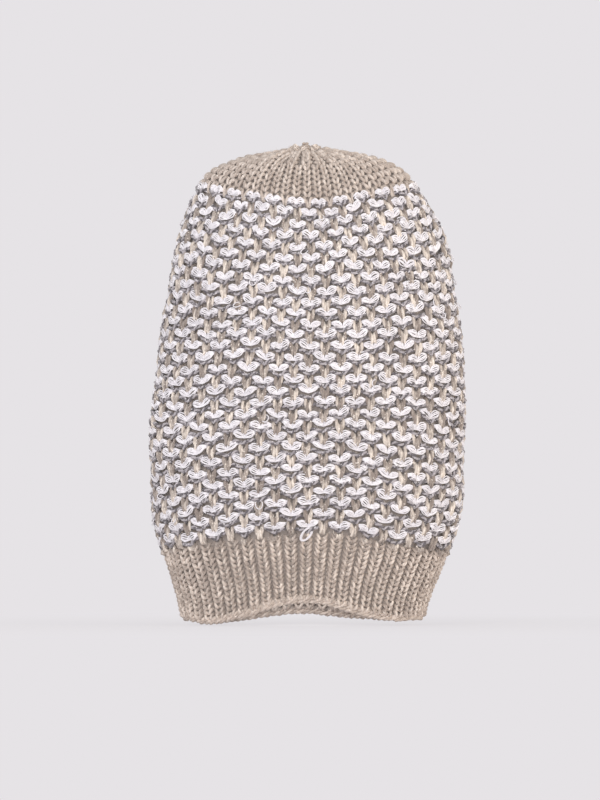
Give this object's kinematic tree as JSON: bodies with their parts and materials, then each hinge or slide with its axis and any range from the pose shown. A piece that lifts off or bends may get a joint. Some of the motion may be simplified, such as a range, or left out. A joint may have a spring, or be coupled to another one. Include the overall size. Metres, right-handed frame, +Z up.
{
  "type": "knit beanie",
  "caption": "Slouchy knit hat with a ribbed cuff, a tuck-stitch body in two contrast yarns and a plain gathered crown.",
  "frame": {"origin": "on the resting plane, at the centre of the head opening", "axes": "+Z up through the crown, -Y to the front of the hat, +Y to its back seam, +X to its right-hand side as seen from the front"},
  "size_m": [0.195, 0.105, 0.3013],
  "materials": {
    "beige_yarn": "matte heathered knit",
    "white_yarn": "soft multi-strand yarn",
    "grey_yarn": "marled dark grey yarn"
  },
  "bodies": {
    "root": {"rim_welt": "beige_yarn", "rib_cuff": "beige_yarn", "body_ground": "beige_yarn", "crown_panel": "beige_yarn", "gather_yarn": "beige_yarn", "gather_knot": "beige_yarn", "back_seam": "beige_yarn", "pulled_loop": "white_yarn", "white_course_01": "white_yarn", "white_course_02": "white_yarn", "white_course_03": "white_yarn", "white_course_04": "white_yarn", "white_course_05": "white_yarn", "white_course_06": "white_yarn", "white_course_07": "white_yarn", "white_course_08": "white_yarn", "white_course_09": "white_yarn", "white_course_10": "white_yarn", "white_course_11": "white_yarn", "white_course_12": "white_yarn", "white_course_13": "white_yarn", "white_course_14": "white_yarn", "white_course_15": "white_yarn", "grey_course_01": "grey_yarn", "grey_course_02": "grey_yarn", "grey_course_03": "grey_yarn", "grey_course_04": "grey_yarn", "grey_course_05": "grey_yarn", "grey_course_06": "grey_yarn", "grey_course_07": "grey_yarn", "grey_course_08": "grey_yarn", "grey_course_09": "grey_yarn", "grey_course_10": "grey_yarn", "grey_course_11": "grey_yarn", "grey_course_12": "grey_yarn", "grey_course_13": "grey_yarn", "grey_course_14": "grey_yarn", "grey_course_15": "grey_yarn"}
  },
  "joints": []
}
